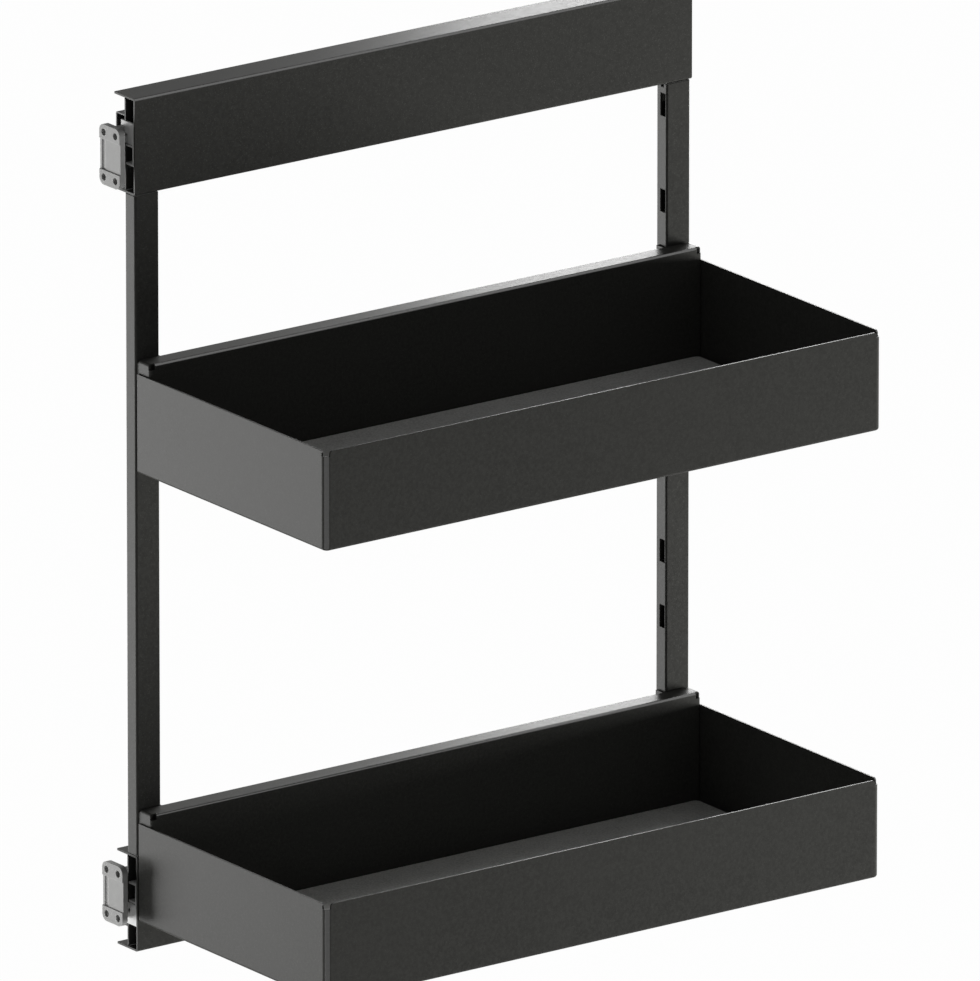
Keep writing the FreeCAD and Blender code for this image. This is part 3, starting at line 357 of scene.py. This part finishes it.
VIEW_AZIMUTH = math.radians(-36.0068)
VIEW_RISE = math.radians(17.5513)
VIEW_DISTANCE = 21.2291
VIEW_CENTRE = Vector((-0.001141589, -0.123079748, 0.009419816))
FOCAL_LENGTH_IN_PIXELS = 30965.9
PICTURE_WIDTH = 980.0
SENSOR_WIDTH = 36.0
CLIP_START, CLIP_END = 1.0, 100.0


def add_camera():
    """The photograph's view: a very long lens, 36 degrees round and 17.6 up."""
    across, up = math.cos(VIEW_RISE), math.sin(VIEW_RISE)
    back = Vector((math.sin(VIEW_AZIMUTH) * across, -math.cos(VIEW_AZIMUTH) * across, up))
    lens = bpy.data.cameras.new("long_lens")
    lens.sensor_fit = "HORIZONTAL"
    lens.sensor_width = SENSOR_WIDTH
    lens.lens = FOCAL_LENGTH_IN_PIXELS * SENSOR_WIDTH / PICTURE_WIDTH
    lens.clip_start = CLIP_START
    lens.clip_end = CLIP_END
    camera = bpy.data.objects.new("camera", lens)
    camera.location = VIEW_CENTRE + back * VIEW_DISTANCE
    camera.rotation_euler = back.to_track_quat("Z", "Y").to_euler()
    bpy.context.scene.collection.objects.link(camera)
    bpy.context.scene.camera = camera


# Studio

WHITE = (1, 1, 1, 1)
FLOOR_GREY = (0.8, 0.8, 0.8, 1)
FLOOR_SIZE = 30
FLOOR_HEIGHT = -2.0
FLOOR_WHITENESS = 0.985
EVEN_LIGHT = 0.15
OBJECT_CENTRE = Vector((0.0, -0.1245, 0.0076))
TOPS_CENTRE = Vector((0.18, 0.0, 0.02))


def seen_directly(g):
    """1 for what the camera, a reflection or clear glass sees."""
    path = g.node("LightPath")
    return (path.out("Is Camera Ray") + path.out("Is Glossy Ray") + path.out("Is Transmission Ray")).limited()


def add_floor():
    """Pale floor that is white where it is seen, with a little of the object's shadow."""
    bpy.ops.object.select_all(action="DESELECT")
    bpy.ops.mesh.primitive_plane_add(size=FLOOR_SIZE, location=(0, 0, FLOOR_HEIGHT))
    floor = bpy.context.object
    floor.name = "studio_floor"
    g = material_graph("pale_floor")
    matte = g.node("BsdfDiffuse", None, {"Color": FLOOR_GREY})
    white = g.node("Emission", None, {"Color": WHITE, "Strength": 1.0})
    share = seen_directly(g) * FLOOR_WHITENESS
    mix = g.node("MixShader", None, {0: share, 1: matte.out(), 2: white.out()})
    g.node("OutputMaterial", None, {"Surface": mix.out()})
    floor.data.materials.append(g.owner)


def add_world():
    """White where it is seen, and a soft even light for everything else."""
    g = Graph(bpy.data.worlds.new("studio"))
    bpy.context.scene.world = g.owner
    even = g.node("Background", None, {"Color": WHITE, "Strength": EVEN_LIGHT})
    white = g.node("Background", None, {"Color": WHITE, "Strength": 1.0})
    mix = g.node("MixShader", None, {0: seen_directly(g), 1: even.out(), 2: white.out()})
    g.node("OutputWorld", None, {"Surface": mix.out()})


def add_softbox(name, where, watts, width, height, aim=OBJECT_CENTRE, mirrored=True):
    """A lamp that faces aim, and that glossy surfaces mirror or don't."""
    lamp = bpy.data.lights.new(name, "AREA")
    lamp.shape = "RECTANGLE"
    lamp.size = width
    lamp.size_y = height
    lamp.energy = watts
    holder = bpy.data.objects.new(name, lamp)
    holder.location = where
    holder.rotation_euler = (Vector(where) - aim).to_track_quat("Z", "Y").to_euler()
    holder.visible_glossy = mirrored
    bpy.context.scene.collection.objects.link(holder)


def light_studio():
    """Light the left sides, the fronts and the sheen on the tops."""
    add_world()
    add_softbox("left_softbox", (-1.75, 3.53, -0.95), watts=218, width=1.8, height=1.6)
    add_softbox("side_softbox", (-2.2, 0.0, -1.1), watts=9, width=1.0, height=0.8)
    add_softbox("front_softbox", (2.2, -0.9, -0.6), watts=118, width=1.4, height=1.0, mirrored=False)
    add_softbox("rear_softbox", (0.77, 0.55, 0.30), watts=20, width=0.5, height=0.9, aim=TOPS_CENTRE)


dress(frame)
add_floor()
light_studio()
add_camera()
bpy.context.scene.view_settings.view_transform = "Standard"
